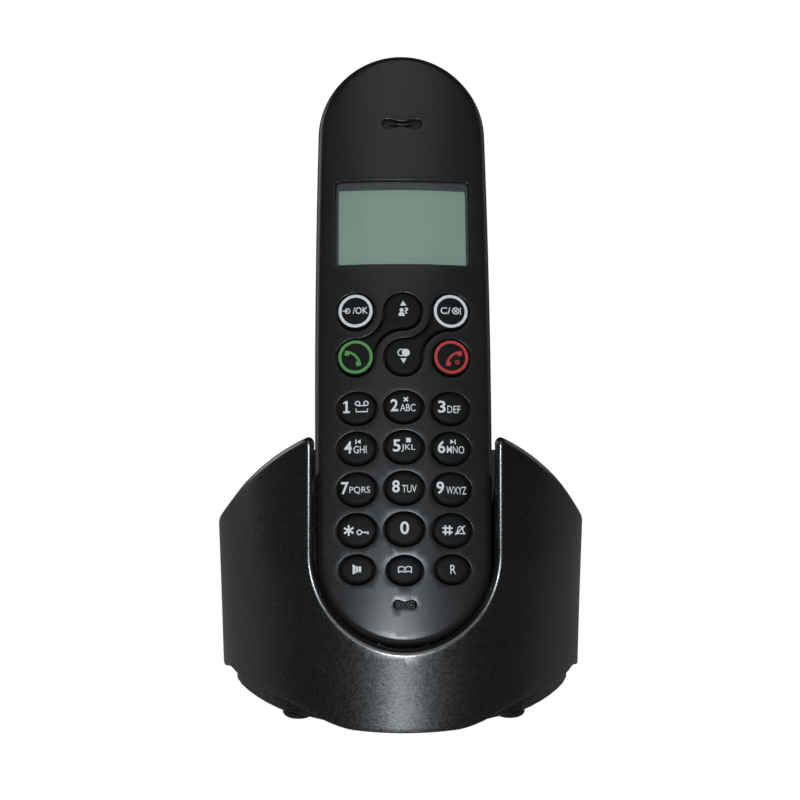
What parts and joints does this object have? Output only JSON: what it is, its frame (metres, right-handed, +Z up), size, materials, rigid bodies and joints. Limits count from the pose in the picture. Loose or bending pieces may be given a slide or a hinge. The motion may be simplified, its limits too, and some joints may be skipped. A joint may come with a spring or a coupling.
{
  "type": "cordless phone with base",
  "caption": "Slim cordless telephone handset with round-ended keypad face and display, leaning in a curved charging base with a U-shaped front cut.",
  "frame": {"origin": "on the surface it stands on, under the middle of the whole object's box", "axes": "+Z up, front of the base towards -Y, +X to the right seen from the front"},
  "size_m": [0.101, 0.1122, 0.1613],
  "materials": {
    "handset_casing": "fine satin texture",
    "base_casing": "fine sparkling grain",
    "cradle_casing": "fine grain",
    "key_plastic": "satin with printed symbols",
    "key_rubber": "silicone",
    "lens_clear": "clear glossy lens",
    "display": "grey-green liquid crystal panel",
    "circuit_board": "green solder mask",
    "socket_plastic": "plain moulded",
    "contact_gold": "gold plated",
    "steel": "plated",
    "battery_wrap": "printed sleeve",
    "foot_rubber": "soft rubber"
  },
  "bodies": {
    "base": {"base_shell": "base_casing", "cradle_deck": "cradle_casing", "cradle_well": "cradle_casing", "backrest": "cradle_casing", "base_cover": "base_casing", "base_board": "circuit_board", "power_jack": "socket_plastic", "line_socket": "socket_plastic", "foot_1": "foot_rubber", "foot_2": "foot_rubber", "foot_3": "foot_rubber", "foot_4": "foot_rubber", "base_screw_1": "steel", "base_screw_2": "steel", "base_screw_3": "steel"},
    "handset": {"front_shell": "handset_casing", "rear_shell": "handset_casing", "display_lens": "lens_clear", "display_module": "display", "handset_board": "circuit_board", "key_mat": "key_rubber", "earpiece": "steel", "microphone": "steel", "ringer": "steel", "battery_tray": "socket_plastic", "contact_plate_lower": "steel", "contact_plate_upper": "steel", "battery_left": "battery_wrap", "battery_right": "battery_wrap", "charge_contact_left": "contact_gold", "charge_contact_right": "contact_gold", "handset_screw_left": "steel", "handset_screw_right": "steel"},
    "battery_door": {"battery_door": "handset_casing"},
    "page_key": {"page_key": "key_plastic"},
    "charge_pin_left": {"charge_pin_left": "contact_gold"},
    "charge_pin_right": {"charge_pin_right": "contact_gold"},
    "key_ok": {"key_ok": "key_plastic"},
    "key_end": {"key_end": "key_plastic"},
    "key_1": {"key_1": "key_plastic"},
    "key_2": {"key_2": "key_plastic"},
    "key_3": {"key_3": "key_plastic"},
    "key_4": {"key_4": "key_plastic"},
    "key_5": {"key_5": "key_plastic"},
    "key_6": {"key_6": "key_plastic"},
    "key_7": {"key_7": "key_plastic"},
    "key_8": {"key_8": "key_plastic"},
    "key_9": {"key_9": "key_plastic"},
    "key_star": {"key_star": "key_plastic"},
    "key_0": {"key_0": "key_plastic"},
    "key_hash": {"key_hash": "key_plastic"},
    "key_speaker": {"key_speaker": "key_plastic"},
    "key_phonebook": {"key_phonebook": "key_plastic"},
    "key_recall": {"key_recall": "key_plastic"},
    "rocker_up_call": {"rocker_up_call": "key_plastic"},
    "rocker_down_clear": {"rocker_down_clear": "key_plastic"}
  },
  "joints": [
    {"name": "handset_lift", "type": "slide", "parent": "base", "child": "handset", "axis": [0, 0.515, 0.8572], "range_m": [0, 0.09]},
    {"name": "battery_door_hinge", "type": "hinge", "parent": "handset", "child": "battery_door", "pos_m": [0, 0.00639, 0.06227], "axis": [-1, 0, 0], "range_deg": [0, 75]},
    {"name": "page_key_press", "type": "slide", "parent": "base", "child": "page_key", "axis": [0, 0, -1], "range_m": [0, 0.0008], "stiffness_N_per_m": 400},
    {"name": "charge_pin_left_press", "type": "slide", "parent": "base", "child": "charge_pin_left", "axis": [0, -0.515, -0.8572], "range_m": [0, 0.0006], "stiffness_N_per_m": 300},
    {"name": "charge_pin_right_press", "type": "slide", "parent": "base", "child": "charge_pin_right", "axis": [0, -0.515, -0.8572], "range_m": [0, 0.0006], "stiffness_N_per_m": 300},
    {"name": "key_ok_press", "type": "slide", "parent": "handset", "child": "key_ok", "axis": [0, 0.8572, -0.515], "range_m": [0, 0.0008], "stiffness_N_per_m": 400},
    {"name": "key_end_press", "type": "slide", "parent": "handset", "child": "key_end", "axis": [0, 0.8572, -0.515], "range_m": [0, 0.0008], "stiffness_N_per_m": 400},
    {"name": "key_1_press", "type": "slide", "parent": "handset", "child": "key_1", "axis": [0, 0.8572, -0.515], "range_m": [0, 0.0008], "stiffness_N_per_m": 400},
    {"name": "key_2_press", "type": "slide", "parent": "handset", "child": "key_2", "axis": [0, 0.8572, -0.515], "range_m": [0, 0.0008], "stiffness_N_per_m": 400},
    {"name": "key_3_press", "type": "slide", "parent": "handset", "child": "key_3", "axis": [0, 0.8572, -0.515], "range_m": [0, 0.0008], "stiffness_N_per_m": 400},
    {"name": "key_4_press", "type": "slide", "parent": "handset", "child": "key_4", "axis": [0, 0.8572, -0.515], "range_m": [0, 0.0008], "stiffness_N_per_m": 400},
    {"name": "key_5_press", "type": "slide", "parent": "handset", "child": "key_5", "axis": [0, 0.8572, -0.515], "range_m": [0, 0.0008], "stiffness_N_per_m": 400},
    {"name": "key_6_press", "type": "slide", "parent": "handset", "child": "key_6", "axis": [0, 0.8572, -0.515], "range_m": [0, 0.0008], "stiffness_N_per_m": 400},
    {"name": "key_7_press", "type": "slide", "parent": "handset", "child": "key_7", "axis": [0, 0.8572, -0.515], "range_m": [0, 0.0008], "stiffness_N_per_m": 400},
    {"name": "key_8_press", "type": "slide", "parent": "handset", "child": "key_8", "axis": [0, 0.8572, -0.515], "range_m": [0, 0.0008], "stiffness_N_per_m": 400},
    {"name": "key_9_press", "type": "slide", "parent": "handset", "child": "key_9", "axis": [0, 0.8572, -0.515], "range_m": [0, 0.0008], "stiffness_N_per_m": 400},
    {"name": "key_star_press", "type": "slide", "parent": "handset", "child": "key_star", "axis": [0, 0.8572, -0.515], "range_m": [0, 0.0008], "stiffness_N_per_m": 400},
    {"name": "key_0_press", "type": "slide", "parent": "handset", "child": "key_0", "axis": [0, 0.8572, -0.515], "range_m": [0, 0.0008], "stiffness_N_per_m": 400},
    {"name": "key_hash_press", "type": "slide", "parent": "handset", "child": "key_hash", "axis": [0, 0.8572, -0.515], "range_m": [0, 0.0008], "stiffness_N_per_m": 400},
    {"name": "key_speaker_press", "type": "slide", "parent": "handset", "child": "key_speaker", "axis": [0, 0.8572, -0.515], "range_m": [0, 0.0008], "stiffness_N_per_m": 400},
    {"name": "key_phonebook_press", "type": "slide", "parent": "handset", "child": "key_phonebook", "axis": [0, 0.8572, -0.515], "range_m": [0, 0.0008], "stiffness_N_per_m": 400},
    {"name": "key_recall_press", "type": "slide", "parent": "handset", "child": "key_recall", "axis": [0, 0.8572, -0.515], "range_m": [0, 0.0008], "stiffness_N_per_m": 400},
    {"name": "rocker_up_call_tilt", "type": "hinge", "parent": "handset", "child": "rocker_up_call", "pos_m": [-0.00637, -0.0025, 0.09214], "axis": [0.7071, -0.3642, -0.6061], "range_deg": [-3.5, 3.5], "stiffness_Nm_per_rad": 0.09},
    {"name": "rocker_down_clear_tilt", "type": "hinge", "parent": "handset", "child": "rocker_down_clear", "pos_m": [0.00637, -0.0025, 0.09214], "axis": [0.7071, -0.3642, -0.6061], "range_deg": [-3.5, 3.5], "stiffness_Nm_per_rad": 0.09}
  ]
}
